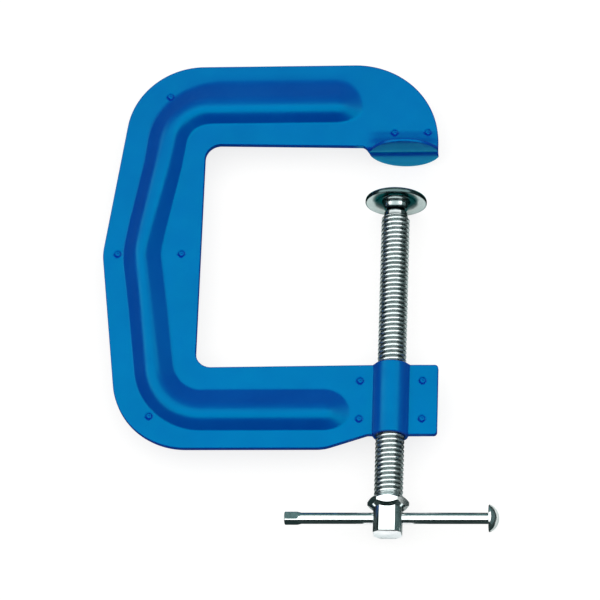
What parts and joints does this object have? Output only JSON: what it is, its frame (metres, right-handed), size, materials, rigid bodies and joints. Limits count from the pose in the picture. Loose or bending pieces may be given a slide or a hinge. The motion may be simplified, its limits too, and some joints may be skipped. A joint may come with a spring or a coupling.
{
  "type": "c clamp",
  "caption": "Pressed-steel C-clamp: beaded double-sheet frame with a flared fixed jaw, a threaded screw with a swivel pad, and a sliding tommy bar.",
  "frame": {"origin": "centre of the swivel pad's face, on the screw's axis and in the frame's middle plane", "axes": "+Y along the screw from the tommy bar towards the fixed jaw; +X from the spine towards the open side; +Z square to the frame, which lies flat"},
  "size_m": [0.1801, 0.2263, 0.0276],
  "materials": {
    "frame_paint": "satin blue enamel over pressed steel",
    "weld_steel": "bare fused steel, hidden between the sheets",
    "screw_zinc": "bright zinc plate on rolled thread",
    "pad_zinc": "satin zinc plate",
    "bar_zinc": "bright zinc plate on drawn bar"
  },
  "bodies": {
    "frame": {"front_pressing": "frame_paint", "rear_pressing": "frame_paint", "spot_welds": "weld_steel"},
    "pad": {"swivel_pad": "pad_zinc"},
    "screw": {"spindle": "screw_zinc"},
    "bar": {"tommy_bar": "bar_zinc"}
  },
  "joints": [
    {"name": "screw_travel", "type": "slide", "parent": "frame", "child": "pad", "axis": [0, 1, 0], "range_m": [-0.073, 0.0219]},
    {"name": "screw_spin", "type": "hinge", "parent": "pad", "child": "screw", "pos_m": [0, 0, 0], "axis": [0, 1, 0], "range_deg": [-12400, 3720]},
    {"name": "bar_slide", "type": "slide", "parent": "screw", "child": "bar", "axis": [1, 0, 0], "range_m": [-0.0342, 0.0313]}
  ],
  "couplings": [
    {"joint": "screw_travel", "follows": "screw_spin", "m_per_rad": 0.00033688}
  ]
}
